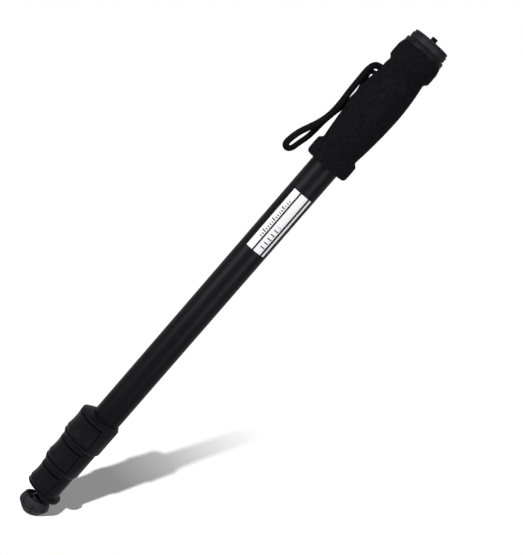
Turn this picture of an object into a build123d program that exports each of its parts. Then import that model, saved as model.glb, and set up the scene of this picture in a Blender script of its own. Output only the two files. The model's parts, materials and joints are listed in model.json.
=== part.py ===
from build123d import *
import os
from math import cos, radians, sin, sqrt, tan

# Camera monopod: four telescoping tubes with flip locks, a foam grip, a camera platform and a
# rubber foot on a ball. The origin is the centre of the platform's top face. +Z points out of the
# head along the camera screw, and the levers of the flip locks face -Y. Lengths are millimetres.

# Tubes, from the outermost section to the innermost
tube_radius = 13.0
tube_wall = 1.0
sleeve_gap = 0.5            # radial room between two sections, for the liner and the guide
section_count = 4
section_travel = 374.0
key_width = 2.0             # the guide's key keeps the sections from turning in each other
key_height = 0.3
key_clearance = 0.1
tube_end_chamfer = 0.25

# Guides at the top of the inner sections, liners in the bottom of the outer ones
guide_length = 18.0
guide_rim = 1.0
guide_rim_width = 1.8
running_clearance = 0.08
liner_overrun = 2.0         # how far the liner reaches above the shoe's window
stop_clearance = 0.5

# Head
pad_thickness = 1.2
pad_radius = 15.8
pad_edge = 0.5
pad_bore_radius = 4.6
pad_groove_radius = 11.0
pad_groove_width = 1.4
pad_groove_depth = 0.5
platform_thickness = 6.8
platform_radius = 17.5
platform_rim = 0.9
platform_chamfer = 1.2
platform_crown = 1.6        # plain height above the knurl
knurl_teeth = 60
knurl_depth = 0.45
flange_thickness = 4.2
flange_radius = 19.0
flange_chamfer = 0.5
plug_length = 17.0
plug_bore_radius = 8.0
plug_roof = 6.0
plug_gap = 4.0              # to the top of the next tube, with the sections in
screw_radius = 3.175        # quarter-inch camera thread
screw_length = 4.2
screw_tip_chamfer = 0.6
screw_neck_radius = 3.6
screw_head_radius = 6.2
screw_head_thickness = 2.4
head_clearance = 0.1
fixing_radius = 1.3         # countersunk screw that holds the plug in the tube
fixing_head_radius = 2.5
fixing_depth = 4.2
fixing_drop = 10.0          # below the top of the tube

# Foam grip
grip_length = 120.8
grip_top_radius = 19.2
grip_shoulder = 5.0         # height of the taper at the top
grip_bell_radius = 20.6     # both end bells
grip_bell_bow = 0.2
grip_top_bell = 18.0
grip_bottom_bell = 17.0
grip_neck_radius = 17.7
grip_barrel_radius = 20.8
grip_foot_neck_radius = 17.3
grip_step = 1.6             # height over which a bell falls to its neck
grip_corner = 1.8
barrel_place_share = 0.405  # where the barrel is thickest, from its top
upper_bow_share = 0.72
lower_bow_share = 0.72

# Wrist strap and the riveted plate that holds its ends under the foam
strap_azimuth = -45.0       # from -Y towards +X, in degrees
strap_diameter = 5.0
strap_spacing = 6.2
strap_drop = 32.9           # plate's middle below the top of the grip
anchor_width = 7.0
anchor_margin = 1.5
anchor_thickness = 2.0
anchor_rivet_radius = 1.8
rivet_recess = 0.1          # rivet's end behind the tube's bore
slot_clearance = 0.3

# Flip locks, from the highest to the lowest
lock_lengths = [31.2, 28.4, 24.9]
lock_gap = 0.3
collar_wall = 2.8
collar_lip = 4.0            # height below the outer tube's end
lip_clearance = 0.25
lever_reaches = [4.7, 4.4, 3.9]    # how far the bulge stands forward of the tube's axis
bulge_share = 0.7           # sine of the angle at which the flanks leave the ring
top_bands = [4.9, 2.8, 3.2]
lower_bands = [3.8, 4.2, 0.9]
lower_insets = [1.6, 1.4, 0.5]
taper_share = 0.75
band_chamfer = 0.4
crown_height = 3.1          # sloped top of the highest collar
crown_inset = 0.3
crown_wall = 0.5
crown_reach_share = 0.3
lever_gap = 1.3             # open slot above each lever
lever_seam = 0.5
lever_wall = 1.8
lever_wrap = 70.0           # half of the angle that a lever covers, in degrees
lever_side_seam = 2.2       # degrees
lever_dip = 0.45
lever_flare = 0.4
lever_flare_height = 3.2
lever_nose = 0.9
lever_bevel = 2.1           # inner lower edge, which clears the lower band as the lever swings
lever_rib = 2.8
lever_rib_depth = 1.9
pin_radius = 1.0
pin_drop = 2.6              # below the lever's top edge
pin_inset = 3.7             # behind the bulge's front
pin_clearance = 0.03
pin_overhang = 0.2
swing_clearance = 0.15
ear_radius = 1.75
ear_inner = 3.4
ear_thickness = 2.0
ear_clearance = 0.2
hub_half_width = 3.0
cam_radius = 2.8
cam_offset = 0.6
shoe_half_width = 3.0
shoe_half_height = 3.4
shoe_play = 0.2
shoe_clearance = 0.15

# End cap and foot
cap_thickness = 4.2
cap_radius = 16.4
cap_chamfer = 1.2
cap_edge = 0.3
cap_floor = 1.5
cap_web = 9.4
cap_flat = 9.0              # its flat on the levers' side, from the axis
cap_shank = 16.0
cap_bore_radius = 6.5
stud_radius = 2.5
stud_clearance = 0.05
shoulder_radius = 3.6
shoulder_thickness = 1.1
shoulder_clearance = 0.05
ball_radius = 6.5
ball_drop = 9.5             # ball's centre below the cap
ball_clearance = 0.05
nut_across_flats = 7.5
nut_thickness = 3.4
stud_end = 1.0
socket_rim_radius = 10.0
socket_body_radius = 9.0
socket_floor = 1.7
socket_edge = 0.5
mouth_angle = 74.0          # of the socket's mouth, seen from the ball's centre, in degrees
foot_tilt = 10.0            # how far the foot leans at rest, in degrees
foot_azimuth = 135.0        # from -Y towards +X, in degrees
foot_swing = 25.0           # how far it tips each way from upright, in degrees
sole_drop = 12.5            # sole below the ball's centre
socket_seat_drop = 2.4
rubber_rise = 3.8           # the rubber's rim above the ball's centre
rubber_edge = 0.5
rubber_rim_radius = 12.4
rubber_band_radius = 14.1
rubber_band_drops = [3.4, 5.4]
rubber_heel = (12.9, 8.6)   # radius and drop where the side turns in
rubber_toe = (10.6, 11.1)
sole_radius = 8.0
tread_inner_radius = 3.0
tread_groove = 1.0
tread_depth = 0.8
tread_count = 6

overrun = 2.0               # how far every cutter reaches past the face it opens

# Levels along the axis. The travel of the sections sets the length of the outermost tube.
tube_top = -(pad_thickness + platform_thickness + flange_thickness)
platform_bottom = -(pad_thickness + platform_thickness)
grip_bottom = tube_top - grip_length
window_half_height = shoe_half_height + shoe_play
window_half_width = shoe_half_width + shoe_play
highest_liner = tube_top - plug_length - plug_gap - guide_length - section_travel - stop_clearance
lock_tops = [highest_liner - liner_overrun - window_half_height + pin_drop + lever_gap + top_bands[0]]
for length in lock_lengths[:-1]:
    lock_tops.append(lock_tops[-1] - length - lock_gap)
lock_bottoms = [top - length for top, length in zip(lock_tops, lock_lengths)]
cap_top = lock_bottoms[-1] - lock_gap
cap_bottom = cap_top - cap_thickness
ball_z = cap_bottom - ball_drop

# Radii of the nested sections
radii = [tube_radius - i * (tube_wall + sleeve_gap) for i in range(section_count)]
bores = [radius - tube_wall for radius in radii]
ring_radii = [radius + collar_wall for radius in radii[:-1]]
bulge_radii = [ring + bulge_share * reach for ring, reach in zip(ring_radii, lever_reaches)]
fronts = [reach + bulge for reach, bulge in zip(lever_reaches, bulge_radii)]

# Places on each lock: the lever's edges, its pin and the shoe's window
lever_tops = [top - band - lever_gap for top, band in zip(lock_tops, top_bands)]
lever_bottoms = [bottom + band + lever_seam for bottom, band in zip(lock_bottoms, lower_bands)]
pin_levels = [top - pin_drop for top in lever_tops]
pin_reaches = [front - pin_inset for front in fronts]
liner_tops = [level + window_half_height + liner_overrun for level in pin_levels]

# Ends of the tubes. A guide meets its liner when the section is fully out.
guide_bottoms = [top + stop_clearance + section_travel for top in liner_tops]
tube_tops = [tube_top] + [bottom + guide_length for bottom in guide_bottoms]
tube_bottoms = [bottom + collar_lip for bottom in lock_bottoms] + [cap_bottom + cap_floor]


def rod(radius, top, bottom):
    return Pos(0, 0, bottom) * Cylinder(radius, top - bottom, align=(Align.CENTER, Align.CENTER, Align.MIN))


def ring_of(outer, inner, top, bottom):
    return rod(outer, top, bottom) - rod(inner, top + overrun, bottom - overrun)


def cross_rod(radius, half_length, reach, level):
    # A rod along X, centred in front of the tube
    return Pos(0, -reach, level) * Rot(0, 90, 0) * Cylinder(radius, 2 * half_length)


def block(x0, x1, y0, y1, z0, z1):
    return Pos((x0 + x1) / 2, (y0 + y1) / 2, (z0 + z1) / 2) * Box(x1 - x0, y1 - y0, z1 - z0)


def turned(points, level=0):
    # Solid of revolution about +Z from a closed outline of (radius, height) points
    face = make_face(Polyline(*[(r, 0, z) for r, z in points], close=True))
    return Pos(0, 0, level) * revolve(face, Axis.Z)


def shoe_window(index):
    # Opening through the walls in front of the tube, for the shoe and the cam
    level = pin_levels[index]
    return block(-window_half_width, window_half_width, -ring_radii[index] - overrun, 0,
                 level - window_half_height, level + window_half_height)


def make_tube(index):
    top, bottom = tube_tops[index], tube_bottoms[index]
    tube = ring_of(radii[index], bores[index], top, bottom)
    tube = chamfer(tube.edges().group_by(Axis.Z)[-1], tube_end_chamfer)
    if index < section_count - 1:
        groove_reach = bores[index] + key_height + key_clearance
        half_groove = key_width / 2 + key_clearance
        tube -= block(-half_groove, half_groove, 0, groove_reach, bottom - overrun, top + overrun)
        tube -= shoe_window(index)
    return tube


def make_guide(index):
    # Nylon guide over the top end of an inner tube, with its key at the back
    top = tube_tops[index]
    sleeve_radius = bores[index - 1] - running_clearance
    sleeve = ring_of(sleeve_radius, radii[index], top, top - guide_length)
    rim = ring_of(sleeve_radius, radii[index] - guide_rim_width, top + guide_rim, top)
    key_reach = bores[index - 1] + key_height
    key = block(-key_width / 2, key_width / 2, 0, key_reach, top - guide_length, top + guide_rim)
    key -= rod(radii[index], top + guide_rim + overrun, top - guide_length - overrun)
    return sleeve + rim + key


def make_liner(index):
    # Sleeve inside the bottom of an outer tube, which guides the next one and stops its guide
    inner = radii[index + 1] + running_clearance
    liner = ring_of(bores[index], inner, liner_tops[index], tube_bottoms[index])
    return liner - shoe_window(index)


def collar_outline(ring, reach, level):
    # Ring round the tube, blended by two flanks into a rounder bulge in front of it
    bulge = ring + bulge_share * reach
    side = sqrt(1 - bulge_share ** 2)
    back_right = (side * ring, bulge_share * ring)
    front_right = (side * bulge, bulge_share * bulge - reach)
    back_left = (-back_right[0], back_right[1])
    front_left = (-front_right[0], front_right[1])
    edges = [
        Line(back_right, front_right),
        ThreePointArc(front_right, (0, -reach - bulge), front_left),
        Line(front_left, back_left),
        ThreePointArc(back_left, (0, ring), back_right),
    ]
    return Pos(0, 0, level) * make_face(edges)


def collar_body(index):
    top, bottom = lock_tops[index], lock_bottoms[index]
    ring, reach = ring_radii[index], lever_reaches[index]
    taper_top = bottom + taper_share * lower_bands[index]
    if index == 0:
        crown_ring = radii[index] + crown_wall
        crown_top = collar_outline(crown_ring, crown_reach_share * reach, top)
        crown_foot = collar_outline(ring - crown_inset, reach, top - crown_height)
        body = loft([crown_top, crown_foot], ruled=True)
        edge_top = top - crown_height
        edge_inset = crown_inset
    else:
        body = Part()
        edge_top = top
        edge_inset = band_chamfer
    levels = [
        (edge_top, edge_inset),
        (edge_top - edge_inset, 0),
        (taper_top, 0),
        (bottom, lower_insets[index]),
    ]
    faces = [collar_outline(ring - inset, reach, level) for level, inset in levels]
    return body + loft(faces, ruled=True)


def lever_bay(index):
    # Room for the lever between the two bands, outside the ring
    ring, reach = ring_radii[index], lever_reaches[index]
    top = lock_tops[index] - top_bands[index]
    bottom = lock_bottoms[index] + lower_bands[index]
    far = 2 * fronts[index]
    flank = far / tan(radians(lever_wrap + lever_side_seam))
    right = [(0, -reach), (far, -reach - flank), (far, -reach - far)]
    left = [(-x, y) for x, y in reversed(right[1:])]
    sector = make_face(Polyline(*right, *left, close=True))
    bay = Pos(0, 0, bottom) * extrude(sector, top - bottom)
    return bay - rod(ring, top + overrun, bottom - overrun)


def make_collar(index):
    top, bottom = lock_tops[index], lock_bottoms[index]
    level, reach = pin_levels[index], pin_reaches[index]
    collar = collar_body(index) - lever_bay(index)
    ring_inside = radii[index] + collar_wall / 2
    for side in (-1, 1):
        inner = side * ear_inner
        outer = side * (ear_inner + ear_thickness)
        x0, x1 = min(inner, outer), max(inner, outer)
        web = block(x0, x1, -reach, 0, level - ear_radius, level + ear_radius)
        web -= rod(ring_inside, level + ear_radius + overrun, level - ear_radius - overrun)
        boss = Pos((x0 + x1) / 2, -reach, level) * Rot(0, 90, 0) * Cylinder(ear_radius, ear_thickness)
        collar += web + boss
    collar -= rod(radii[index], top + overrun, tube_bottoms[index])
    collar -= rod(radii[index + 1] + lip_clearance, top + overrun, bottom - overrun)
    collar -= shoe_window(index)
    collar -= cross_rod(pin_radius, ear_inner + ear_thickness + overrun, reach, level)
    return collar


def make_pin(index):
    half = ear_inner + ear_thickness + pin_overhang
    return cross_rod(pin_radius, half, pin_reaches[index], pin_levels[index])


def lever_shell(index):
    # Curved plate round the bulge, a little waisted, with a flared nose at its lower edge
    bulge = bulge_radii[index]
    top, bottom = lever_tops[index], lever_bottoms[index]
    inner = bulge - lever_wall
    top_out = (bulge, 0, top)
    waist = (bulge - lever_dip, 0, (top + bottom) / 2)
    flare = (bulge + lever_flare, 0, bottom + lever_flare_height)
    nose = (bulge + lever_flare - lever_nose, 0, bottom)
    bevel = (inner, 0, bottom + lever_bevel)
    top_in = (inner, 0, top)
    edges = [
        ThreePointArc(top_out, waist, flare),
        Line(flare, nose),
        Line(nose, bevel),
        Line(bevel, top_in),
        Line(top_in, top_out),
    ]
    shell = revolve(make_face(edges), Axis.Z, revolution_arc=2 * lever_wrap)
    return Pos(0, -lever_reaches[index], 0) * Rot(0, 0, -90 - lever_wrap) * shell


def make_lever(index):
    bulge, bulge_reach = bulge_radii[index], lever_reaches[index]
    top, bottom = lever_tops[index], lever_bottoms[index]
    level, reach = pin_levels[index], pin_reaches[index]
    inside = bulge - lever_wall / 2
    front = fronts[index]
    core = Pos(0, -bulge_reach, 0) * rod(inside, top, bottom)
    web = core & block(-hub_half_width, hub_half_width, -front, -reach,
                       level - cam_radius, level + cam_radius)
    rib_back = front - lever_wall - lever_rib_depth
    rib = core & block(-lever_rib / 2, lever_rib / 2, -front, -rib_back, bottom + lever_bevel, level)
    cam = cross_rod(cam_radius, hub_half_width, reach - cam_offset, level)
    cam -= block(-front, front, -reach - front, -front + lever_wall / 2, bottom, top)
    lever = lever_shell(index) + web + rib + cam
    slot_radius = ear_radius + ear_clearance
    for side in (-1, 1):
        inner = side * hub_half_width
        outer = side * (ear_inner + ear_thickness + pin_overhang + ear_clearance)
        lever -= block(min(inner, outer), max(inner, outer), -reach - slot_radius, 0,
                       level - slot_radius, top + overrun)
    swing = pin_drop + lever_gap - swing_clearance
    corner = block(-bulge, bulge, -reach - 2 * pin_inset, -reach, level, top + overrun)
    corner -= cross_rod(swing, bulge + overrun, reach, level)
    lever -= corner
    return lever - cross_rod(pin_radius + pin_clearance, hub_half_width + overrun, reach, level)


def make_shoe(index):
    level = pin_levels[index]
    back = pin_reaches[index] - cam_offset - cam_radius - shoe_clearance
    shoe = block(-shoe_half_width, shoe_half_width, -back, 0,
                 level - shoe_half_height, level + shoe_half_height)
    face_radius = radii[index + 1] + shoe_clearance
    return shoe - rod(face_radius, level + shoe_half_height + overrun, level - shoe_half_height - overrun)


def make_platform():
    # Disc with a straight knurl round its middle, between two plain rims
    top, bottom = -pad_thickness, platform_bottom
    rim_radius = platform_radius - 2 * knurl_depth
    points = []
    for i in range(2 * knurl_teeth):
        radius = platform_radius - knurl_depth * (i % 2)
        angle = radians(360 * i / (2 * knurl_teeth))
        points.append((radius * cos(angle), radius * sin(angle)))
    knurl_height = platform_thickness - platform_rim - platform_crown
    knurl = Pos(0, 0, bottom + platform_rim) * extrude(make_face(Polyline(*points, close=True)), knurl_height)
    disc = turned([
        (0, bottom), (rim_radius, bottom), (rim_radius, top - platform_chamfer),
        (rim_radius - platform_chamfer, top), (0, top),
    ])
    return disc + knurl - rod(screw_neck_radius + head_clearance, top + overrun, bottom - overrun)


def make_platform_pad():
    pad = turned([
        (pad_bore_radius, -pad_thickness), (pad_radius, -pad_thickness), (pad_radius, -pad_edge),
        (pad_radius - pad_edge, 0), (pad_bore_radius, 0),
    ])
    groove = ring_of(pad_groove_radius + pad_groove_width / 2, pad_groove_radius - pad_groove_width / 2,
                     overrun, -pad_groove_depth)
    return pad - groove


def make_camera_screw():
    head_bottom = platform_bottom - screw_head_thickness
    return turned([
        (0, head_bottom), (screw_head_radius, head_bottom), (screw_head_radius, platform_bottom),
        (screw_neck_radius, platform_bottom), (screw_neck_radius, 0), (screw_radius, 0),
        (screw_radius, screw_length - screw_tip_chamfer), (screw_radius - screw_tip_chamfer, screw_length),
        (0, screw_length),
    ])


fixing_level = tube_top - fixing_drop


fixing_reach = sqrt(tube_radius ** 2 - fixing_head_radius ** 2)


def fixing():
    # Countersunk screw from the back, its head just below the outermost tube's surface
    shank_radius, head_radius = fixing_radius, fixing_head_radius
    head_height = head_radius - shank_radius
    outline = [
        (0, fixing_reach), (head_radius, fixing_reach), (shank_radius, fixing_reach - head_height),
        (shank_radius, fixing_reach - fixing_depth), (0, fixing_reach - fixing_depth),
    ]
    return Pos(0, 0, fixing_level) * Rot(-90, 0, 0) * turned(outline)


def make_head_plug():
    bore = bores[0]
    bottom = tube_top - plug_length
    plug = turned([
        (0, platform_bottom), (flange_radius - flange_chamfer, platform_bottom),
        (flange_radius, platform_bottom - flange_chamfer), (flange_radius, tube_top),
        (bore, tube_top), (bore, bottom), (plug_bore_radius, bottom),
        (plug_bore_radius, tube_top - plug_roof), (0, tube_top - plug_roof),
    ])
    pocket = rod(screw_head_radius + head_clearance, platform_bottom + overrun,
                 platform_bottom - screw_head_thickness - head_clearance)
    return plug - pocket - fixing()


def make_foam_grip():
    top, bottom = tube_top, grip_bottom
    bell_foot = top - grip_top_bell
    barrel_top = bell_foot - grip_step / 2
    foot_bell = bottom + grip_bottom_bell
    barrel_foot = foot_bell + grip_step / 2
    thickest = bell_foot - barrel_place_share * (bell_foot - foot_bell)
    upper_mid = ((grip_neck_radius + (grip_barrel_radius - grip_neck_radius) * upper_bow_share),
                 (barrel_top + thickest) / 2)
    lower_mid = ((grip_foot_neck_radius + (grip_barrel_radius - grip_foot_neck_radius) * lower_bow_share),
                 (barrel_foot + thickest) / 2)
    bell_top = top - grip_shoulder
    points = {
        "top_in": (tube_radius, top),
        "top_out": (grip_top_radius, top),
        "bell_top": (grip_bell_radius - grip_bell_bow, bell_top),
        "bell_mid": (grip_bell_radius, (bell_top + bell_foot + grip_corner) / 2),
        "bell_low": (grip_bell_radius - grip_bell_bow, bell_foot + grip_corner),
        "neck": (grip_neck_radius, barrel_top),
        "thickest": (grip_barrel_radius, thickest),
        "foot_neck": (grip_foot_neck_radius, barrel_foot),
        "foot_top": (grip_bell_radius - grip_bell_bow, foot_bell - grip_corner),
        "foot_mid": (grip_bell_radius, (foot_bell + bottom) / 2),
        "foot_low": (grip_bell_radius - grip_bell_bow, bottom + grip_corner),
        "foot_out": (grip_bell_radius - grip_corner, bottom),
        "foot_in": (tube_radius, bottom),
    }
    p = {name: (r, 0, z) for name, (r, z) in points.items()}
    edges = [
        Line(p["top_in"], p["top_out"]),
        Line(p["top_out"], p["bell_top"]),
        ThreePointArc(p["bell_top"], p["bell_mid"], p["bell_low"]),
        Line(p["bell_low"], p["neck"]),
        ThreePointArc(p["neck"], (upper_mid[0], 0, upper_mid[1]), p["thickest"]),
        ThreePointArc(p["thickest"], (lower_mid[0], 0, lower_mid[1]), p["foot_neck"]),
        Line(p["foot_neck"], p["foot_top"]),
        ThreePointArc(p["foot_top"], p["foot_mid"], p["foot_low"]),
        Line(p["foot_low"], p["foot_out"]),
        Line(p["foot_out"], p["foot_in"]),
        Line(p["foot_in"], p["top_in"]),
    ]
    foam = revolve(make_face(edges), Axis.Z)
    return foam - anchor_prism(tube_radius + grip_barrel_radius, slot_clearance)


strap_level = tube_top - strap_drop
anchor_half_height = strap_spacing / 2 + strap_diameter / 2 + anchor_margin
anchor_face = tube_radius + anchor_thickness


def anchor_prism(length, grow=0):
    # Upright bar with round ends, from the tube's axis forward
    half_height = anchor_half_height + grow
    width = anchor_width + 2 * grow
    face = SlotOverall(2 * half_height, width, rotation=90)
    return Pos(0, 0, strap_level) * Rot(0, 0, strap_azimuth) * Rot(90, 0, 0) * extrude(face, length)


def strap_rivet(start, end):
    rivet = Cylinder(anchor_rivet_radius, end - start, align=(Align.CENTER, Align.CENTER, Align.MIN))
    return Pos(0, 0, strap_level) * Rot(0, 0, strap_azimuth) * Pos(0, -start, 0) * Rot(90, 0, 0) * rivet


def make_strap_anchor():
    plate = anchor_prism(anchor_face)
    plate -= rod(tube_radius, strap_level + anchor_half_height + overrun,
                 strap_level - anchor_half_height - overrun)
    return plate + strap_rivet(bores[0] + rivet_recess, anchor_face)


# Route of the strap from its upper end round the loop and back to its lower end, as if its plate
# faced -Y
upper_strand = strap_level + strap_spacing / 2
lower_strand = strap_level - strap_spacing / 2
strap_route = [
    (0, -anchor_face, upper_strand),
    (0, -20.6, upper_strand),
    (2.3, -24.5, -45.0),
    (3.6, -25.6, -52.0),
    (3.6, -25.3, -62.0),
    (3.3, -25.1, -73.0),
    (2.9, -24.4, -83.5),
    (2.4, -24.3, -92.5),
    (2.4, -25.2, -100.5),
    (3.0, -27.4, -108.5),
    (3.3, -30.8, -116.5),
    (3.1, -34.6, -124.5),
    (2.7, -36.8, -133.0),
    (2.3, -37.6, -139.7),
    (0.9, -35.6, -142.1),
    (-1.1, -32.9, -142.1),
    (-2.5, -30.9, -139.7),
    (-3.0, -29.4, -133.0),
    (-3.3, -27.0, -124.5),
    (-3.0, -26.2, -116.5),
    (-2.9, -25.7, -108.5),
    (-3.6, -24.7, -100.5),
    (-6.0, -23.4, -93.0),
    (-10.0, -21.5, -85.5),
    (-13.7, -19.8, -77.5),
    (-15.2, -19.1, -69.5),
    (-12.9, -20.5, -62.5),
    (-8.6, -22.6, -56.5),
    (-4.2, -23.9, -52.0),
    (0, -21.0, lower_strand),
    (0, -anchor_face, lower_strand),
]


def bend_radii(route):
    # Each bend is as large as its two runs allow
    points = [Vector(*point) for point in route]
    found = []
    for before, corner, after in zip(points, points[1:], points[2:]):
        run_in, run_out = corner - before, after - corner
        half_turn = radians(run_in.get_angle(run_out)) / 2
        found.append(0.45 * min(run_in.length, run_out.length) / tan(half_turn))
    return found


def make_wrist_strap():
    bends = bend_radii(strap_route)
    path = FilletPolyline(*strap_route, radius=bends)
    start = path.location_at(0)
    tube = sweep(Plane(start) * Circle(strap_diameter / 2), path=path)
    print("strap length", round(path.length, 1), "bend radii", [round(bend, 1) for bend in bends])
    print("strap volume over section times length",
          round(tube.volume / (path.length * Circle(strap_diameter / 2).area), 4))
    return Rot(0, 0, strap_azimuth) * tube


def make_end_cap():
    # Plug in the innermost tube with the disc that the tube stands in
    bore = stud_radius + stud_clearance
    cap = turned([
        (bore, cap_bottom), (cap_radius - cap_chamfer, cap_bottom), (cap_radius, cap_bottom + cap_chamfer),
        (cap_radius, cap_top - cap_edge), (cap_radius - cap_edge, cap_top), (radii[-1], cap_top),
        (radii[-1], tube_bottoms[-1]), (bores[-1], tube_bottoms[-1]), (bores[-1], cap_bottom + cap_shank),
        (cap_bore_radius, cap_bottom + cap_shank), (cap_bore_radius, cap_bottom + cap_web),
        (bore, cap_bottom + cap_web),
    ])
    beyond = cap_radius + overrun
    return cap - block(-beyond, beyond, -beyond, -cap_flat, cap_bottom - overrun, cap_top + overrun)


def make_foot_stud():
    # Ball, neck, shoulder under the cap and threaded shank through it
    shoulder_top = cap_bottom - shoulder_clearance
    shoulder_bottom = shoulder_top - shoulder_thickness
    shank_top = cap_bottom + cap_web + shoulder_clearance + nut_thickness + stud_end
    shank = rod(stud_radius, shank_top, ball_z)
    shoulder = rod(shoulder_radius, shoulder_top, shoulder_bottom)
    return Pos(0, 0, ball_z) * Sphere(ball_radius) + shank + shoulder


def make_stud_nut():
    bottom = cap_bottom + cap_web + shoulder_clearance
    face = RegularPolygon(nut_across_flats / 2, 6, major_radius=False)
    nut = Pos(0, 0, bottom) * extrude(face, nut_thickness)
    return nut - rod(stud_radius, bottom + nut_thickness + overrun, bottom - overrun)


foot_place = Pos(0, 0, ball_z) * Rot(0, 0, foot_azimuth) * Rot(-foot_tilt, 0, 0)


def make_foot_socket():
    # Housing that wraps the ball past its middle, drawn upright about the ball's centre
    cavity = ball_radius + ball_clearance
    mouth = (cavity * sin(radians(mouth_angle)), 0, cavity * cos(radians(mouth_angle)))
    halfway = radians((180 + mouth_angle) / 2)
    side = (cavity * sin(halfway), 0, cavity * cos(halfway))
    floor = -cavity - socket_floor
    rim_bottom = -socket_seat_drop
    points = [
        mouth, (socket_rim_radius - socket_edge, 0, mouth[2]),
        (socket_rim_radius, 0, mouth[2] - socket_edge), (socket_rim_radius, 0, rim_bottom),
        (socket_body_radius, 0, rim_bottom), (socket_body_radius, 0, floor), (0, 0, floor), (0, 0, -cavity),
    ]
    edges = [Line(a, b) for a, b in zip(points, points[1:])]
    edges.append(ThreePointArc(points[-1], side, mouth))
    return foot_place * revolve(make_face(edges), Axis.Z)


def make_foot_pad():
    # Rubber cup round the socket, rounded towards its grooved sole
    floor = -ball_radius - ball_clearance - socket_floor
    pad = turned([
        (socket_body_radius, -socket_seat_drop), (socket_rim_radius, -socket_seat_drop),
        (socket_rim_radius, rubber_rise), (rubber_rim_radius - rubber_edge, rubber_rise),
        (rubber_rim_radius, rubber_rise - rubber_edge), (rubber_band_radius, -rubber_band_drops[0]),
        (rubber_band_radius, -rubber_band_drops[1]), (rubber_heel[0], -rubber_heel[1]),
        (rubber_toe[0], -rubber_toe[1]), (sole_radius, -sole_drop), (0, -sole_drop),
        (0, floor), (socket_body_radius, floor),
    ])
    groove_top = -sole_drop + tread_depth
    pad -= ring_of(tread_inner_radius + tread_groove, tread_inner_radius, groove_top, -sole_drop - overrun)
    for i in range(tread_count):
        groove = block(tread_inner_radius + tread_groove / 2, rubber_band_radius + overrun,
                       -tread_groove / 2, tread_groove / 2, -sole_drop - overrun, groove_top)
        pad -= Rot(0, 0, 360 * (i + 0.5) / tread_count) * groove
    return foot_place * pad


def rivet_hole():
    return strap_rivet(bores[0] - overrun, anchor_face)


def parts():
    made = {}
    made["tube_1"] = make_tube(0) - fixing() - rivet_hole()
    made["head_plug"] = make_head_plug()
    made["plug_screw"] = fixing()
    made["platform"] = make_platform()
    made["platform_pad"] = make_platform_pad()
    made["camera_screw"] = make_camera_screw()
    made["foam_grip"] = make_foam_grip()
    made["strap_anchor"] = make_strap_anchor()
    made["wrist_strap"] = make_wrist_strap()
    for i in range(section_count - 1):
        made[f"collar_{i + 1}"] = make_collar(i)
        made[f"pin_{i + 1}"] = make_pin(i)
        made[f"lever_{i + 1}"] = make_lever(i)
        made[f"shoe_{i + 1}"] = make_shoe(i)
        made[f"liner_{i + 1}"] = make_liner(i)
        made[f"tube_{i + 2}"] = make_tube(i + 1)
        made[f"guide_{i + 2}"] = make_guide(i + 1)
    made["end_cap"] = make_end_cap()
    made["foot_stud"] = make_foot_stud()
    made["stud_nut"] = make_stud_nut()
    made["foot_socket"] = make_foot_socket()
    made["foot_pad"] = make_foot_pad()
    return made


if __name__ == "__main__":
    os.makedirs("parts", exist_ok=True)
    for name, solid in parts().items():
        export_step(solid, f"parts/{name}.step")
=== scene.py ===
import json
import math

import bmesh
import bpy
from mathutils import Matrix, Vector, noise

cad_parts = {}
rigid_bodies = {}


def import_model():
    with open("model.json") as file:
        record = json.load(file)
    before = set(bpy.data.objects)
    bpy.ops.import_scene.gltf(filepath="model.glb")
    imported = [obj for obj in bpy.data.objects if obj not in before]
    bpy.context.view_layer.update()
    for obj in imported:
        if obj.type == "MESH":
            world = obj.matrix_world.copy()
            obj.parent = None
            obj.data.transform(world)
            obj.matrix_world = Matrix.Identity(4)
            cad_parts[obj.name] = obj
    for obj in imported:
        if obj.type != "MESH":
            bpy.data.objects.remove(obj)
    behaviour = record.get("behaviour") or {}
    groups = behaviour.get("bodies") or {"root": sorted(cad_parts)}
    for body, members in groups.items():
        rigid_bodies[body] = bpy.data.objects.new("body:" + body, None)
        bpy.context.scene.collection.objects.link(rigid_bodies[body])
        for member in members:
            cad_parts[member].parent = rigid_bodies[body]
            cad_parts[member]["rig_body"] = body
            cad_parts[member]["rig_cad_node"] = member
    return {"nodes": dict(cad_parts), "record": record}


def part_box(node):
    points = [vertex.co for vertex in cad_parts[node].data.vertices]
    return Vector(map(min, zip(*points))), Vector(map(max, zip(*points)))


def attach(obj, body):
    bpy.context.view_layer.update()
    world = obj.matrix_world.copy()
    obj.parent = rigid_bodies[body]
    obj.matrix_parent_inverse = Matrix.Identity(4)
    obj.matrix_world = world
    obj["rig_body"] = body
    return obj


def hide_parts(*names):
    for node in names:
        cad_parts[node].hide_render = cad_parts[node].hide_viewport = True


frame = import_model()
nodes = frame["nodes"]
record = frame["record"]
slotOf = {part["node"]: part["material_slot"] for part in record["subparts"]}
bodyOf = {node: body for body, members in record["behaviour"]["bodies"].items() for node in members}
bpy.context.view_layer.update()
mm = 0.001


# Small tools used by every piece

merging = {"gap": 0.002 * mm, "flatAngle": 0.5}     # for a copy of a CAD node's loose triangles


def clearSelection():
    if bpy.context.object and bpy.context.object.mode != "OBJECT":
        bpy.ops.object.mode_set(mode="OBJECT")
    bpy.ops.object.select_all(action="DESELECT")


def makeActive(piece):
    clearSelection()
    piece.select_set(True)
    bpy.context.view_layer.objects.active = piece


def applyModifiers(piece):
    makeActive(piece)
    for modifier in list(piece.modifiers):
        bpy.ops.object.modifier_apply(modifier=modifier.name)


def smoothShade(piece, angle):
    makeActive(piece)
    bpy.ops.object.shade_smooth_by_angle(angle=math.radians(angle))


def giveMaterial(piece, material):
    piece.data.materials.clear()
    piece.data.materials.append(material)


def addObject(name, data):
    added = bpy.data.objects.new(name, data)
    bpy.context.scene.collection.objects.link(added)
    return added


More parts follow.
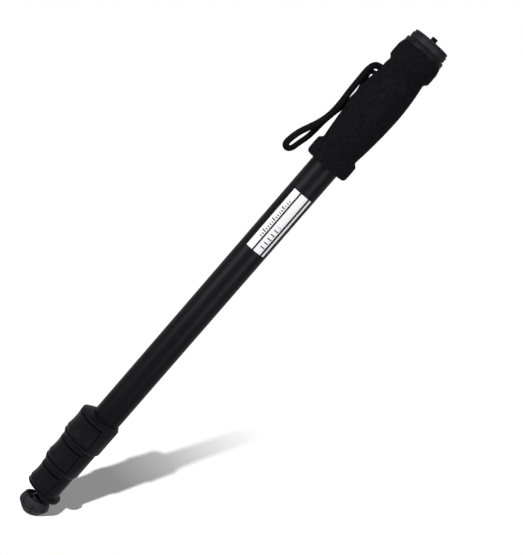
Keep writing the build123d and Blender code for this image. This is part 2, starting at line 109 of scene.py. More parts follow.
def copyOfNode(node, name):
    # A merged copy of a CAD node's mesh, as a piece of its own, left active
    piece = nodes[node].copy()
    piece.data = nodes[node].data.copy()
    piece.name = name
    piece.parent = None
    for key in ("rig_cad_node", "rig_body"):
        del piece[key]
    bpy.context.scene.collection.objects.link(piece)
    makeActive(piece)
    bpy.ops.object.mode_set(mode="EDIT")
    bpy.ops.mesh.select_all(action="SELECT")
    bpy.ops.mesh.remove_doubles(threshold=merging["gap"])
    bpy.ops.mesh.dissolve_limited(angle_limit=math.radians(merging["flatAngle"]))
    bpy.ops.object.mode_set(mode="OBJECT")
    return piece


def standIn(piece, node, shadeAngle):
    # The finished piece takes a CAD node's place, with its material and on its body
    giveMaterial(piece, materials[slotOf[node]])
    smoothShade(piece, shadeAngle)
    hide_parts(node)
    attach(piece, bodyOf[node])


# Camera

shot = {
    "distance": 1.053,          # from the axis, at the height that the lens is levelled on, in metres
    "level": -0.27707,
    "lean": 10.9,               # how far the head leans towards the camera, in degrees
    "azimuth": 45.0,            # from -Y towards +X, in degrees
    "roll": 49.14416,           # from the tube's direction to the picture's right, in degrees
    "focalPixels": 1234.8,
    "sensorWidth": 36.0,
    "frame": (523, 555),
    "axisPixel": (214.15, 294.33),      # where the tube's axis is at that height
}


def makeCamera():
    lean, turn, roll = [math.radians(shot[key]) for key in ("lean", "azimuth", "roll")]
    towards = Vector((math.sin(turn), -math.cos(turn), 0))
    up = Vector((0, 0, 1))
    sight = -(math.cos(lean) * towards + math.sin(lean) * up)
    along = (up + math.sin(lean) * sight).normalized()
    across = sight.cross(along)
    right = math.cos(roll) * along + math.sin(roll) * across
    down = math.cos(roll) * across - math.sin(roll) * along
    offset = [size / 2 - pixel for size, pixel in zip(shot["frame"], shot["axisPixel"])]
    forward = (shot["focalPixels"] * sight + offset[0] * right + offset[1] * down).normalized()
    upward = (-down + down.dot(forward) * forward).normalized()
    sideways = forward.cross(upward)
    place = Vector((0, 0, shot["level"])) - shot["distance"] * sight
    data = bpy.data.cameras.new("shotCamera")
    data.sensor_width = shot["sensorWidth"]
    data.lens = data.sensor_width * shot["focalPixels"] / max(shot["frame"])
    camera = addObject("shotCamera", data)
    turnMatrix = Matrix((sideways, upward, -forward)).transposed().to_4x4()
    camera.matrix_world = Matrix.Translation(place) @ turnMatrix
    bpy.context.scene.camera = camera


def roundFromCamera(degrees):
    # The angle from +X of a place that is so many degrees round the tube from the camera's side
    return math.radians(shot["azimuth"] - 90 + degrees)


makeCamera()
print("camera placed")


# Tools for the materials

glossTint = (0.93, 0.89, 1.0)       # the studio's light leaves a faint violet on the black pieces


def startMaterial(name, colour, roughness, specular, metallic=0.0):
    material = bpy.data.materials.new(name)
    material.use_nodes = True
    shader = material.node_tree.nodes["Principled BSDF"]
    shader.inputs["Base Color"].default_value = (*colour, 1)
    shader.inputs["Roughness"].default_value = roughness
    shader.inputs["Specular IOR Level"].default_value = specular
    shader.inputs["Metallic"].default_value = metallic
    shader.inputs["Specular Tint"].default_value = (*glossTint, 1)
    return material, material.node_tree, shader


def addNode(tree, kind, **values):
    node = tree.nodes.new(kind)
    for key, value in values.items():
        setattr(node, key, value)
    return node


def combined(tree, operation, *values):
    # A sum or a test of numbers and other nodes' outputs
    node = addNode(tree, "ShaderNodeMath", operation=operation)
    for socket, value in zip(node.inputs, values):
        if isinstance(value, (int, float)):
            socket.default_value = value
        else:
            tree.links.new(value, socket)
    return node.outputs["Value"]


def within(tree, value, low, high):
    # 1 where the value is between the two, and 0 elsewhere
    return combined(tree, "COMPARE", value, (low + high) / 2, (high - low) / 2)


def remapped(tree, value, before=(0, 1), after=(0, 1)):
    # The value, from the range before to the range after, and held at its ends
    node = addNode(tree, "ShaderNodeMapRange")
    for key, number in zip(("From Min", "From Max", "To Min", "To Max"), (*before, *after)):
        node.inputs[key].default_value = number
    tree.links.new(value, node.inputs["Value"])
    return node.outputs["Result"]


def objectPoint(tree, scale=(1, 1, 1)):
    coordinates = addNode(tree, "ShaderNodeTexCoord")
    mapping = addNode(tree, "ShaderNodeMapping")
    mapping.inputs["Scale"].default_value = scale
    tree.links.new(coordinates.outputs["Object"], mapping.inputs["Vector"])
    return mapping.outputs["Vector"]


def noiseField(tree, point, scale, detail, roughness=0.55):
    texture = addNode(tree, "ShaderNodeTexNoise")
    texture.inputs["Scale"].default_value = scale
    texture.inputs["Detail"].default_value = detail
    texture.inputs["Roughness"].default_value = roughness
    tree.links.new(point, texture.inputs["Vector"])
    return texture.outputs["Fac"]


def ramp(tree, factor, places, colours):
    node = addNode(tree, "ShaderNodeValToRGB")
    elements = node.color_ramp.elements
    for place in places[len(elements):]:
        elements.new(place)
    for element, place, colour in zip(elements, places, colours):
        element.position = place
        element.color = (*colour, 1)
    tree.links.new(factor, node.inputs["Fac"])
    return node.outputs["Color"]


def addBump(tree, shader, height, strength, distance):
    bump = addNode(tree, "ShaderNodeBump")
    bump.inputs["Strength"].default_value = strength
    bump.inputs["Distance"].default_value = distance
    tree.links.new(height, bump.inputs["Height"])
    tree.links.new(bump.outputs["Normal"], shader.inputs["Normal"])


# Materials

grainForm = {"broadDetail": 4.0, "fineDetail": 2.0, "fineRoughness": 0.6, "tonePlaces": (0.3, 0.7)}


def grainedMaterial(name, look):
    # Two close tones, a little variation in gloss and a fine grain
    roughness, shift = look["roughness"], look["glossSpread"]
    material, tree, shader = startMaterial(name, look["colour"], roughness, look["specular"],
                                           look.get("metallic", 0.0))
    point = objectPoint(tree, look.get("stretch", (1, 1, 1)))
    broad = noiseField(tree, point, look["broadScale"], grainForm["broadDetail"])
    fine = noiseField(tree, point, look["grainScale"], grainForm["fineDetail"], grainForm["fineRoughness"])
    tone = ramp(tree, broad, grainForm["tonePlaces"], (look["colour"], look["lighter"]))
    tree.links.new(tone, shader.inputs["Base Color"])
    gloss = remapped(tree, fine, after=(roughness - shift, roughness + shift))
    tree.links.new(gloss, shader.inputs["Roughness"])
    addBump(tree, shader, fine, look["grain"], look["grainHeight"])
    return material


looks = {
    "black_tube": {
        "colour": (0.0030, 0.0029, 0.0038), "lighter": (0.0040, 0.0039, 0.0050), "roughness": 0.44,
        "specular": 0.045, "broadScale": 30, "grainScale": 1800, "glossSpread": 0.06, "grain": 0.12,
        "grainHeight": 0.05 * mm, "stretch": (1, 1, 0.25),
    },
    "lock_plastic": {
        "colour": (0.0034, 0.0033, 0.0044), "lighter": (0.0052, 0.0050, 0.0064), "roughness": 0.5,
        "specular": 0.045, "broadScale": 120, "grainScale": 2600, "glossSpread": 0.08, "grain": 0.3,
        "grainHeight": 0.06 * mm,
    },
    "lever_plastic": {
        "colour": (0.0036, 0.0035, 0.0046), "lighter": (0.0056, 0.0054, 0.0068), "roughness": 0.38,
        "specular": 0.05, "broadScale": 90, "grainScale": 2200, "glossSpread": 0.06, "grain": 0.18,
        "grainHeight": 0.05 * mm,
    },
    "platform_metal": {
        "colour": (0.0062, 0.0060, 0.0078), "lighter": (0.0098, 0.0094, 0.0116), "roughness": 0.55,
        "specular": 0.10, "broadScale": 160, "grainScale": 2400, "glossSpread": 0.08, "grain": 0.2,
        "grainHeight": 0.05 * mm,
    },
    "pad_rubber": {
        "colour": (0.0060, 0.0058, 0.0070), "lighter": (0.0180, 0.0175, 0.0190), "roughness": 0.7,
        "specular": 0.08, "broadScale": 420, "grainScale": 1500, "glossSpread": 0.1, "grain": 0.6,
        "grainHeight": 0.12 * mm,
    },
    "fitting_steel": {
        "colour": (0.42, 0.42, 0.43), "lighter": (0.5, 0.5, 0.51), "roughness": 0.34,
        "specular": 0.5, "metallic": 1.0, "broadScale": 200, "grainScale": 2500, "glossSpread": 0.08,
        "grain": 0.1, "grainHeight": 0.03 * mm,
    },
    "screw_steel": {
        "colour": (0.012, 0.012, 0.013), "lighter": (0.022, 0.022, 0.023), "roughness": 0.4,
        "specular": 0.5, "metallic": 1.0, "broadScale": 300, "grainScale": 2500, "glossSpread": 0.08,
        "grain": 0.1, "grainHeight": 0.03 * mm,
    },
    "ball_steel": {             # blackened, as the photo shows no bright ball in the foot's recess
        "colour": (0.0016, 0.0016, 0.0020), "lighter": (0.0030, 0.0030, 0.0036), "roughness": 0.42,
        "specular": 0.07, "broadScale": 300, "grainScale": 2500, "glossSpread": 0.08,
        "grain": 0.1, "grainHeight": 0.03 * mm,
    },
    "foot_plastic": {
        "colour": (0.0016, 0.0016, 0.0020), "lighter": (0.0026, 0.0025, 0.0031), "roughness": 0.5,
        "specular": 0.03, "broadScale": 120, "grainScale": 2300, "glossSpread": 0.05, "grain": 0.12,
        "grainHeight": 0.04 * mm,
    },
    "foot_rubber": {
        "colour": (0.0095, 0.0092, 0.0115), "lighter": (0.0150, 0.0146, 0.0175), "roughness": 0.62,
        "specular": 0.1, "broadScale": 150, "grainScale": 1700, "glossSpread": 0.08, "grain": 0.4,
        "grainHeight": 0.08 * mm,
    },
    "brake_plastic": {
        "colour": (0.05, 0.05, 0.05), "lighter": (0.07, 0.07, 0.07), "roughness": 0.6,
        "specular": 0.4, "broadScale": 200, "grainScale": 2000, "glossSpread": 0.06, "grain": 0.2,
        "grainHeight": 0.05 * mm,
    },
    "guide_nylon": {
        "colour": (0.6, 0.6, 0.57), "lighter": (0.66, 0.66, 0.63), "roughness": 0.45,
        "specular": 0.45, "broadScale": 200, "grainScale": 1500, "glossSpread": 0.06, "grain": 0.15,
        "grainHeight": 0.05 * mm,
    },
}
foamLook = {
    "deep": (0.0020, 0.0019, 0.0027), "skin": (0.0062, 0.0060, 0.0080), "tonePlaces": (0.32, 0.68),
    "roughness": 0.92, "specular": 0.03, "cellScale": 1150, "cellShare": 0.6, "mottleScale": 260,
    "mottleDetail": 5.0, "mottleRoughness": 0.65, "bump": 0.55, "bumpHeight": 0.35 * mm,
}
# The cord's deep colour is painted shade, for the low parts between the braid's strands
cordLook = {
    "deep": (0.0010, 0.0010, 0.0012), "strand": (0.0034, 0.0034, 0.0038), "tonePlaces": (0.25, 0.85),
    "roughness": 0.75, "specular": 0.03, "yarnScale": 3200, "yarnDetail": 2.0, "bump": 0.5,
    "bumpHeight": 0.08 * mm,
}


def foamMaterial(look):
    # Closed-cell foam: small rounded cells over a soft mottle
    material, tree, shader = startMaterial("grip_foam", look["skin"], look["roughness"], look["specular"])
    point = objectPoint(tree)
    cells = addNode(tree, "ShaderNodeTexVoronoi", feature="DISTANCE_TO_EDGE")
    cells.inputs["Scale"].default_value = look["cellScale"]
    tree.links.new(point, cells.inputs["Vector"])
    mottle = noiseField(tree, point, look["mottleScale"], look["mottleDetail"], look["mottleRoughness"])
    tone = ramp(tree, mottle, look["tonePlaces"], (look["deep"], look["skin"]))
    tree.links.new(tone, shader.inputs["Base Color"])
    relief = combined(tree, "MULTIPLY_ADD", cells.outputs["Distance"], look["cellShare"], mottle)
    addBump(tree, shader, relief, look["bump"], look["bumpHeight"])
    return material


def cordMaterial(look):
    # Braided nylon, with painted shade: darker between the strands and lighter on their tops, by the
    # relief
    material, tree, shader = startMaterial("strap_cord", look["strand"], look["roughness"],
                                           look["specular"])
    relief = addNode(tree, "ShaderNodeAttribute", attribute_name="relief")
    tone = ramp(tree, relief.outputs["Fac"], look["tonePlaces"], (look["deep"], look["strand"]))
    tree.links.new(tone, shader.inputs["Base Color"])
    yarn = noiseField(tree, objectPoint(tree), look["yarnScale"], look["yarnDetail"])
    addBump(tree, shader, yarn, look["bump"], look["bumpHeight"])
    return material


materials = {name: grainedMaterial(name, look) for name, look in looks.items()}
materials["grip_foam"] = foamMaterial(foamLook)
materials["strap_cord"] = cordMaterial(cordLook)
for node, piece in nodes.items():
    giveMaterial(piece, materials[slotOf[node]])
giveMaterial(nodes["foot_stud"], materials["ball_steel"])
print("materials made")


# Wrist strap

strap = {
    "diameter": 5.8 * mm,       # its wide side, which faces the camera
    "flatness": 0.67,           # its thickness, as a share of its wide side
    "sides": 36,
    "ringStep": 0.45 * mm,
    "strands": 8,               # of the braid, winding each way
    "halfTurn": 7.5 * mm,       # the length in which a strand goes half way round
    "relief": 0.11 * mm,
    "shadeAngle": 60,
    "splineOrder": 3, "splineSteps": 24,
    "azimuth": -45.0,           # of the anchor's plate, from -Y towards +X, in degrees
    "route": [                  # in mm, as if the plate faced -Y
        (0, -15.0, -42.0), (0, -20.6, -42.0), (2.3, -24.5, -45.0), (3.6, -25.6, -52.0),
        (3.6, -25.3, -62.0), (3.3, -25.1, -73.0), (2.9, -24.4, -83.5), (2.4, -24.3, -92.5),
        (2.4, -25.2, -100.5), (3.0, -27.4, -108.5), (3.3, -30.8, -116.5), (3.1, -34.6, -124.5),
        (2.7, -36.8, -133.0), (2.3, -37.6, -139.7), (0.9, -35.6, -142.1), (-1.1, -32.9, -142.1),
        (-2.5, -30.9, -139.7), (-3.0, -29.4, -133.0), (-3.3, -27.0, -124.5), (-3.0, -26.2, -116.5),
        (-2.9, -25.7, -108.5), (-3.6, -24.7, -100.5), (-6.0, -23.4, -93.0), (-10.0, -21.5, -85.5),
        (-13.7, -19.8, -77.5), (-15.2, -19.1, -69.5), (-12.9, -20.5, -62.5), (-8.6, -22.6, -56.5),
        (-4.2, -23.9, -52.0), (0, -21.0, -48.2), (0, -15.0, -48.2),
    ],
}


def routeLine():
    # Points along the smooth spline that has the turned route's points as its control points
    turn = Matrix.Rotation(math.radians(strap["azimuth"]), 3, "Z")
    curve = bpy.data.curves.new("routeCurve", "CURVE")
    curve.dimensions = "3D"
    curve.resolution_u = strap["splineSteps"]
    spline = curve.splines.new("NURBS")
    spline.points.add(len(strap["route"]) - 1)
    for control, point in zip(spline.points, strap["route"]):
        control.co = (*(turn @ Vector(point) * mm), 1)
    spline.order_u = strap["splineOrder"]
    spline.use_endpoint_u = True
    holder = addObject("routeCurve", curve)
    bpy.context.view_layer.update()
    evaluated = holder.evaluated_get(bpy.context.evaluated_depsgraph_get())
    line = bpy.data.meshes.new_from_object(evaluated)
    found = [vertex.co.copy() for vertex in line.vertices]
    bpy.data.objects.remove(holder)
    bpy.data.meshes.remove(line)
    return found


def evenLine(points, step):
    # Points at even steps along the line through the given ones, and its length
    lengths = [0.0]
    for a, b in zip(points, points[1:]):
        lengths.append(lengths[-1] + (b - a).length)
    count = round(lengths[-1] / step)
    even, i = [], 0
    for k in range(count + 1):
        target = lengths[-1] * k / count
        while i < len(points) - 2 and lengths[i + 1] < target:
            i += 1
        run = lengths[i + 1] - lengths[i]
        share = 0 if run == 0 else (target - lengths[i]) / run
        even.append(points[i].lerp(points[i + 1], min(1, share)))
    return even, lengths[-1]


def makeStrap():
    line, length = evenLine(routeLine(), strap["ringStep"])
    sides, radius, strands = strap["sides"], strap["diameter"] / 2, strap["strands"]
    form = bmesh.new()
    reliefLayer = form.verts.layers.float.new("relief")
    rings = []
    thin = Matrix.Rotation(math.radians(strap["azimuth"]), 3, "Z") @ Vector((1, 0, 0))
    for k, centre in enumerate(line):
        ahead, behind = line[min(k + 1, len(line) - 1)], line[max(k - 1, 0)]
        tangent = (ahead - behind).normalized()
        thin = (thin - thin.dot(tangent) * tangent).normalized()
        wide = tangent.cross(thin)
        along = length * k / (len(line) - 1)
        turn = math.pi * along / strap["halfTurn"] * strands
        ring = []
        for i in range(sides):
            angle = 2 * math.pi * i / sides
            left = math.sin(strands * angle + turn)
            right = math.sin(strands * angle - turn)
            height = (max(left, right) + 1) / 2
            reach = radius - strap["relief"] * (1 - height)
            outward = strap["flatness"] * math.cos(angle) * thin + math.sin(angle) * wide
            vertex = form.verts.new(centre + reach * outward)
            # Kept for the cord's material, which paints shade where the relief is low
            vertex[reliefLayer] = height
            ring.append(vertex)
        rings.append(ring)
    for a, b in zip(rings, rings[1:]):
        for i in range(sides):
            j = (i + 1) % sides
            form.faces.new((a[i], a[j], b[j], b[i]))
    form.faces.new(list(reversed(rings[0])))
    form.faces.new(rings[-1])
    bmesh.ops.recalc_face_normals(form, faces=form.faces)
    mesh = bpy.data.meshes.new("wrist_cord")
    form.to_mesh(mesh)
    form.free()
    piece = addObject("wrist_cord", mesh)
    standIn(piece, "wrist_strap", strap["shadeAngle"])
    print("strap made", round(length, 4))


makeStrap()


# Foam grip

foam = {
    "voxel": 0.75 * mm, "smoothTimes": 4, "smoothShare": 0.5,
    "ripple": 0.12 * mm, "rippleScale": 900,
    "shadeAngle": 80,
}


def makeGrip():
    piece = copyOfNode("foam_grip", "foam_sleeve")
    remesh = piece.modifiers.new("remesh", "REMESH")
    remesh.mode = "VOXEL"
    remesh.voxel_size = foam["voxel"]
    soften = piece.modifiers.new("soften", "SMOOTH")
    soften.iterations = foam["smoothTimes"]
    soften.factor = foam["smoothShare"]
    applyModifiers(piece)
    for vertex in piece.data.vertices:
        bump = noise.noise(vertex.co * foam["rippleScale"])
        outward = Vector((vertex.co.x, vertex.co.y, 0)).normalized()
        vertex.co += outward * bump * foam["ripple"]
    standIn(piece, "foam_grip", foam["shadeAngle"])


makeGrip()
print("foam grip made")


# Camera screw with its thread

thread = {
    "radius": 3.17 * mm, "pitch": 1.27 * mm, "depth": 0.7 * mm,
    "rootShare": 0.16,          # the flat root's width, as a share of the pitch
    "chamfer": 0.8 * mm,        # at the tip
    "sides": 48, "ringStep": 0.085 * mm,
    "shankFrom": 0.02 * mm,     # the CAD's plain shank stands above this height, and is taken off
    "shadeAngle": 30,
}


def makeScrew():
    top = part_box("camera_screw")[1].z
    piece = copyOfNode("camera_screw", "threaded_screw")
    bpy.ops.object.mode_set(mode="EDIT")
    bpy.ops.mesh.select_all(action="DESELECT")
    form = bmesh.from_edit_mesh(piece.data)
    for face in form.faces:
        face.select = face.calc_center_median().z > thread["shankFrom"]
    bmesh.update_edit_mesh(piece.data)
    bpy.ops.mesh.delete(type="FACE")
    clearSelection()
    bpy.ops.mesh.primitive_circle_add(vertices=thread["sides"], radius=thread["radius"], fill_type="NGON")
    shank = bpy.context.object
    bpy.ops.object.mode_set(mode="EDIT")
    bpy.ops.mesh.select_all(action="SELECT")
    rings = round(top / thread["ringStep"])
    for ring in range(rings):
        bpy.ops.mesh.extrude_region_move(TRANSFORM_OT_translate={"value": (0, 0, top / rings)})
    bpy.ops.mesh.select_all(action="SELECT")
    bpy.ops.mesh.normals_make_consistent(inside=False)
    bpy.ops.object.mode_set(mode="OBJECT")
    for vertex in shank.data.vertices:
        x, y, z = vertex.co
        phase = (z / thread["pitch"] - math.atan2(y, x) / (2 * math.pi)) % 1
        rise = max(0, abs(2 * phase - 1) - thread["rootShare"]) / (1 - thread["rootShare"])
        reach = thread["radius"] - thread["depth"] * (1 - rise)
        reach = min(reach, thread["radius"] - thread["chamfer"] + top - z)
        share = reach / thread["radius"]
        vertex.co = (x * share, y * share, z)
    makeActive(piece)
    shank.select_set(True)
    bpy.ops.object.join()
    standIn(piece, "camera_screw", thread["shadeAngle"])


makeScrew()
print("camera screw threaded")


# Platform and its pad, whose upper edges stand out as far as the knurl

headForms = {
    # "above" is the height over which points move, and each ring of points goes from between the first two
    # radii to the third, all in mm
    "platform": {"name": "knurled_disc", "above": -2.6, "shadeAngle": 30,
                 "rings": [(15.0, 15.9, 16.95), (16.2, 17.0, 17.4)]},
    "platform_pad": {"name": "mottled_pad", "above": -1.3, "shadeAngle": 30,
                     "rings": [(15.0, 15.5, 16.3), (15.6, 16.2, 16.8)]},
}


def makeHeadForm(node, look):
    piece = copyOfNode(node, look["name"])
    for vertex in piece.data.vertices:
        x, y, z = vertex.co
        reach = math.hypot(x, y) / mm
        for low, high, wanted in look["rings"]:
            if z / mm > look["above"] and low < reach < high:
                share = wanted / reach
                vertex.co = (x * share, y * share, z)
    standIn(piece, node, look["shadeAngle"])


for node, look in headForms.items():
    makeHeadForm(node, look)
print("platform and pad shaped")


# Rubber foot, drawn upright about the ball's centre and then leaned

boot = {
    "lean": 10.0,               # degrees, about the tilt joint's axis
    "steps": 144,
    # Radius and height in mm, from the socket's seat round the outside to the floor inside. The wall that
    # the socket covers, from that floor up to the seat, isn't drawn.
    "outline": [
        (9.0, -2.4), (10.0, -2.4), (10.0, 3.3), (10.5, 3.8), (11.6, 3.8), (12.1, 3.4), (12.8, 1.6),
        (13.5, -0.4), (13.95, -2.2), (14.0, -3.4), (13.55, -4.6), (12.5, -5.9), (11.0, -7.5), (9.6, -9.2),
        (8.2, -10.6), (6.9, -11.7), (5.6, -12.35), (4.8, -12.5), (0.0, -12.5), (0.0, -8.3), (9.0, -8.3),
    ],
    "mergeGap": 0.005 * mm,
    "grooves": 8, "grooveDepth": 1.8 * mm,
    "grooveReach": 1.6,         # from a groove's middle line to its edge, in steps of the spin
    "grooveTurn": 7.5,          # from the camera's side to the nearest groove, in degrees
    "grooveFrom": -1.0 * mm,    # the height at which the grooves start
    "recess": 10.2 * mm,        # what lies within this radius is inside the cup
    "floorEnd": -8.9 * mm,      # below this height the wall is the sole
    "wallRadius": 9.6 * mm,     # the grooves go no deeper than this above the sole
    "soleEdge": 4.5 * mm,       # the sole is plain within this radius
    "shadeAngle": 38,
}


def turnedPiece(name, outline, steps, mergeGap):
    # An outline drawn by extruding one vertex, and spun round the axis
    clearSelection()
    bpy.ops.mesh.primitive_plane_add(size=mm, location=(0, 0, 0))
    piece = bpy.context.object
    piece.name = name
    bpy.ops.object.mode_set(mode="EDIT")
    bpy.ops.mesh.select_all(action="SELECT")
    bpy.ops.mesh.merge(type="CENTER")
    bpy.ops.transform.translate(value=Vector((outline[0][0], 0, outline[0][1])) * mm)
    for a, b in zip(outline, outline[1:]):
        step = Vector((b[0] - a[0], 0, b[1] - a[1])) * mm
        bpy.ops.mesh.extrude_vertices_move(TRANSFORM_OT_translate={"value": step})
    bpy.ops.mesh.select_all(action="SELECT")
    bpy.ops.mesh.spin(steps=steps, angle=2 * math.pi, center=(0, 0, 0), axis=(0, 0, 1))
    bpy.ops.mesh.select_all(action="SELECT")
    bpy.ops.mesh.remove_doubles(threshold=mergeGap)
    bpy.ops.mesh.normals_make_consistent(inside=False)
    bpy.ops.object.mode_set(mode="OBJECT")
    return piece


def makeBoot():
    piece = turnedPiece("rubber_foot", boot["outline"], boot["steps"], boot["mergeGap"])
    start, spacing = roundFromCamera(boot["grooveTurn"]), 2 * math.pi / boot["grooves"]
    for vertex in piece.data.vertices:
        x, y, z = vertex.co
        reach, onWall = math.hypot(x, y), z > boot["floorEnd"]
        if z < boot["grooveFrom"] and reach > (boot["recess"] if onWall else boot["soleEdge"]):
            share = (math.atan2(y, x) - start + 2 * math.pi) / spacing % 1
            away = min(share, 1 - share) * boot["steps"] / boot["grooves"]
            depth = boot["grooveDepth"] * min(1, max(0, boot["grooveReach"] - away))
            if onWall:
                depth = min(depth, reach - boot["wallRadius"])
            vertex.co -= Vector((x, y, 0)).normalized() * max(0, depth)
    tilt = next(joint for joint in record["behaviour"]["joints"] if joint["name"] == "foot_tilt")
    lean = Matrix.Rotation(-math.radians(boot["lean"]), 4, Vector(tilt["axis"]))
    piece.data.transform(Matrix.Translation(Vector(tilt["pos_m"])) @ lean)
    standIn(piece, "foot_pad", boot["shadeAngle"])
    return piece


rubberFoot = makeBoot()
print("rubber foot made")


# Moulded pieces with eased edges

easing = {
    "segments": 3,
    "sharpAngle": 32,           # an edge that turns by more than this is eased, in degrees
    "shadeAngle": 40,
    "widths": {
        "collar_1": 0.35 * mm, "collar_2": 0.35 * mm, "collar_3": 0.3 * mm,
        "lever_1": 0.3 * mm, "lever_2": 0.3 * mm, "lever_3": 0.3 * mm,
        "end_cap": 0.3 * mm, "head_plug": 0.3 * mm, "foot_socket": 0.3 * mm,
    },
}


def makeEased(node, width):
    piece = copyOfNode(node, node + "_eased")
    bevel = piece.modifiers.new("ease", "BEVEL")
    bevel.width = width
    bevel.segments = easing["segments"]
    bevel.limit_method = "ANGLE"
    bevel.angle_limit = math.radians(easing["sharpAngle"])
    applyModifiers(piece)
    standIn(piece, node, easing["shadeAngle"])


for node, width in easing["widths"].items():
    makeEased(node, width)
print("moulded pieces eased")


# Scale label on the outermost tube

label = {
    "top": -162.7 * mm, "bottom": -224.4 * mm, "stand": 0.06 * mm, "thickness": 0.05 * mm,
    "start": -32.5, "end": 54.0,           # degrees round the tube from the camera's side
    "facets": (46, 2),                     # round the tube and along it
    "shadeAngle": 40,
    "white": (0.71, 0.71, 0.73), "ink": (0.012, 0.012, 0.014), "grey": (0.05, 0.05, 0.055),
    "roughness": 0.4, "specular": 0.1,
    "lines": [(-5.0, 1.8), (34.6, 44.0)],  # the two dark lines along the film, in degrees too
    # Rows of ticks: how many in the film's length, half a tick's height as a share of their spacing, from
    # where to where in degrees, and the same along the film as shares of its length from the bottom
    "ticks": [
        {"count": 25, "halfHeight": 0.2, "turns": (-17.0, -8.0), "rises": (0.2, 0.83)},
        {"count": 5, "halfHeight": 0.05, "turns": (-24.0, -8.0), "rises": (0.2, 0.83)},
        {"count": 14, "halfHeight": 0.13, "turns": (13.0, 32.0), "rises": (0.07, 0.46)},
    ],
}


def painted(tree, under, share, colour):
    # Sockets 6 and 7 in and 2 out are the Mix node's colours
    mix = addNode(tree, "ShaderNodeMix", data_type="RGBA")
    tree.links.new(share, mix.inputs["Factor"])
    tree.links.new(under, mix.inputs[6])
    mix.inputs[7].default_value = (*colour, 1)
    return mix.outputs[2]


def labelMaterial():
    # Lines along the white film, and rows of ticks between them
    material, tree, shader = startMaterial("scale_label", label["white"], label["roughness"],
                                           label["specular"])
    coordinates = addNode(tree, "ShaderNodeTexCoord")
    parts = addNode(tree, "ShaderNodeSeparateXYZ")
    tree.links.new(coordinates.outputs["UV"], parts.inputs["Vector"])
    across, along = parts.outputs["X"], parts.outputs["Y"]

    def between(turns):
        low, high = [(turn - label["start"]) / (label["end"] - label["start"]) for turn in turns]
        return within(tree, across, low, high)

    ground = addNode(tree, "ShaderNodeRGB")
    ground.outputs["Color"].default_value = (*label["white"], 1)
    colour = ground.outputs["Color"]
    for turns in label["lines"]:
        colour = painted(tree, colour, between(turns), label["ink"])
    for row in label["ticks"]:
        wave = combined(tree, "MODULO", combined(tree, "MULTIPLY", along, row["count"]), 1.0)
        marks = within(tree, wave, 0.5 - row["halfHeight"], 0.5 + row["halfHeight"])
        marks = combined(tree, "MULTIPLY", marks, between(row["turns"]))
        marks = combined(tree, "MULTIPLY", marks, within(tree, along, *row["rises"]))
        colour = painted(tree, colour, marks, label["grey"])
    tree.links.new(colour, shader.inputs["Base Color"])
    return material


def makeLabel():
    lowest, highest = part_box("tube_1")
    radius = (highest.x - lowest.x) / 2 + label["stand"]
    clearSelection()
    facetsRound, facetsAlong = label["facets"]
    bpy.ops.mesh.primitive_grid_add(x_subdivisions=facetsRound, y_subdivisions=facetsAlong, size=1)
    piece = bpy.context.object
    piece.name = "scale_film"
    for vertex in piece.data.vertices:
        share, rise = vertex.co.x + 0.5, vertex.co.y + 0.5
        turn = roundFromCamera(label["start"] + share * (label["end"] - label["start"]))
        height = label["bottom"] + rise * (label["top"] - label["bottom"])
        vertex.co = (radius * math.cos(turn), radius * math.sin(turn), height)
    film = piece.modifiers.new("film", "SOLIDIFY")
    film.thickness = label["thickness"]
    film.offset = -1                # inwards
    applyModifiers(piece)
    giveMaterial(piece, labelMaterial())
    smoothShade(piece, label["shadeAngle"])
    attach(piece, "upper_section")


makeLabel()
print("label made")


# Floor, backdrop and lamps

stage = {
    "floorSize": 60.0, "floorColour": (0.74, 0.74, 0.74), "floorRoughness": 0.9, "floorSpecular": 0.0,
    "worldLevel": 0.36,         # the backdrop's strength as a light; it's seen at 1, in reflections too
    "shadowWay": 121.3,         # degrees from +X, on the floor
    "sunEnergy": 14.1, "sunElevation": 16.4, "sunAngle": 1.2,
    "fadeReach": 0.8,           # the far end of the fade below, from the foot, in metres
    # How clear the floor has become at each share of that reach
    "fadePlaces": (0.26, 0.46, 0.58, 0.75, 0.96), "fadeShares": (0.0, 0.28, 0.52, 0.76, 1.0),
    # It also clears away on both sides of the shadow's middle line, and from under the foot away from the
    # shadow, each from the first distance to the second, so that the drawn-out sections are seen below it
    "beside": (0.05, 0.07), "inFront": (0.0, -0.015),
}


def seenDirectly(tree):
    # 1 for camera, glossy and transmission rays
    path = addNode(tree, "ShaderNodeLightPath")
    kinds = ("Camera", "Glossy", "Transmission")
    camera, glossy, through = [path.outputs[f"Is {kind} Ray"] for kind in kinds]
    return combined(tree, "MAXIMUM", combined(tree, "MAXIMUM", camera, glossy), through)


def floorClearness(tree):
    # 0 where the floor shows and 1 where the backdrop is seen through it
    distance = addNode(tree, "ShaderNodeVectorMath", operation="LENGTH")
    tree.links.new(objectPoint(tree, (1, 1, 0)), distance.inputs[0])
    reach = remapped(tree, distance.outputs["Value"], before=(0, stage["fadeReach"]))
    clearness = ramp(tree, reach, stage["fadePlaces"], [(share,) * 3 for share in stage["fadeShares"]])
    turned = addNode(tree, "ShaderNodeMapping")
    turned.inputs["Rotation"].default_value = (0, 0, -math.radians(stage["shadowWay"]))
    tree.links.new(objectPoint(tree), turned.inputs["Vector"])
    parts = addNode(tree, "ShaderNodeSeparateXYZ")
    tree.links.new(turned.outputs["Vector"], parts.inputs["Vector"])
    aside = combined(tree, "ABSOLUTE", parts.outputs["Y"])
    for value, edges in ((aside, stage["beside"]), (parts.outputs["X"], stage["inFront"])):
        clearness = combined(tree, "MAXIMUM", clearness, remapped(tree, value, before=edges))
    return clearness


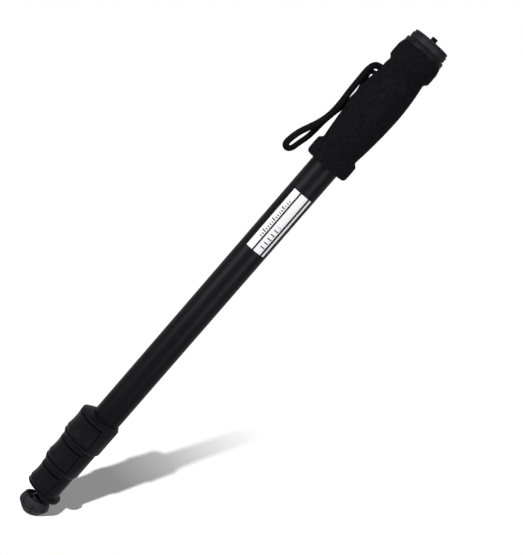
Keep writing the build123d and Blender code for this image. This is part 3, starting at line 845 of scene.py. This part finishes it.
def makeFloor():
    # A level plane under the rubber foot's lowest point
    level = min(vertex.co.z for vertex in rubberFoot.data.vertices)
    clearSelection()
    bpy.ops.mesh.primitive_plane_add(size=stage["floorSize"], location=(0, 0, level))
    floor = bpy.context.object
    floor.name = "floor"
    bpy.ops.object.transform_apply(location=True, rotation=True, scale=True)
    material, tree, shader = startMaterial("floor", stage["floorColour"], stage["floorRoughness"],
                                           stage["floorSpecular"])
    clear = addNode(tree, "ShaderNodeBsdfTransparent")
    mix = addNode(tree, "ShaderNodeMixShader")
    share = combined(tree, "MULTIPLY", floorClearness(tree), seenDirectly(tree))
    tree.links.new(share, mix.inputs["Fac"])
    tree.links.new(shader.outputs["BSDF"], mix.inputs[1])
    tree.links.new(clear.outputs["BSDF"], mix.inputs[2])
    tree.links.new(mix.outputs["Shader"], tree.nodes["Material Output"].inputs["Surface"])
    giveMaterial(floor, material)
    return floor


def makeWorld():
    world = bpy.data.worlds.new("studio")
    bpy.context.scene.world = world
    world.use_nodes = True
    tree = world.node_tree
    background = tree.nodes["Background"]
    level = remapped(tree, seenDirectly(tree), after=(stage["worldLevel"], 1))
    tree.links.new(level, background.inputs["Strength"])
    background.inputs["Color"].default_value = (1, 1, 1, 1)


# Azimuths are from the camera's side, positive to the picture's right. The strips only give gloss.
lamps = {
    "leftStrip": {"azimuth": -46, "reach": 0.45, "height": -0.2, "aim": -0.22, "size": (0.13, 0.4),
                  "energy": 4.2, "diffuse": False},
    "rightStrip": {"azimuth": 38, "reach": 0.45, "height": -0.2, "aim": -0.22, "size": (0.11, 0.4),
                   "energy": 3.0, "diffuse": False},
    "softKey": {"azimuth": -25, "reach": 1.5, "height": 0.9, "aim": -0.25, "size": (1.1, 1.1),
                "energy": 30.0, "diffuse": True},
}


def addLamp(name, kind, energy, place, direction):
    data = bpy.data.lights.new(name, kind)
    data.energy = energy
    lamp = addObject(name, data)
    lamp.location = place
    lamp.rotation_mode = "QUATERNION"
    lamp.rotation_quaternion = direction.to_track_quat("-Z", "Y")
    return lamp


def linkFloor(lamp, floor, state):
    # The lamp lights the floor alone, or all but the floor
    receivers = bpy.data.collections.new(lamp.name + "Floor")
    receivers.objects.link(floor)
    receivers.collection_objects[0].light_linking.link_state = state
    lamp.light_linking.receiver_collection = receivers


def makeSun(floor):
    # It only draws the shadow on the floor
    drop, way = math.radians(stage["sunElevation"]), math.radians(stage["shadowWay"])
    travel = Vector((math.cos(way) * math.cos(drop), math.sin(way) * math.cos(drop), -math.sin(drop)))
    sun = addLamp("shadowSun", "SUN", stage["sunEnergy"], (0, 0, 0), travel)
    sun.data.angle = math.radians(stage["sunAngle"])
    linkFloor(sun, floor, "INCLUDE")


def makeLamp(name, look, floor):
    turn = roundFromCamera(look["azimuth"])
    place = Vector((look["reach"] * math.cos(turn), look["reach"] * math.sin(turn), look["height"]))
    lamp = addLamp(name, "AREA", look["energy"], place, Vector((0, 0, look["aim"])) - place)
    lamp.data.shape = "RECTANGLE"
    lamp.data.size, lamp.data.size_y = look["size"]
    lamp.visible_camera = False
    lamp.visible_diffuse = look["diffuse"]
    linkFloor(lamp, floor, "EXCLUDE")


floor = makeFloor()
makeWorld()
makeSun(floor)
for name, look in lamps.items():
    makeLamp(name, look, floor)
print("stage made")

bpy.context.scene.view_settings.view_transform = "Standard"
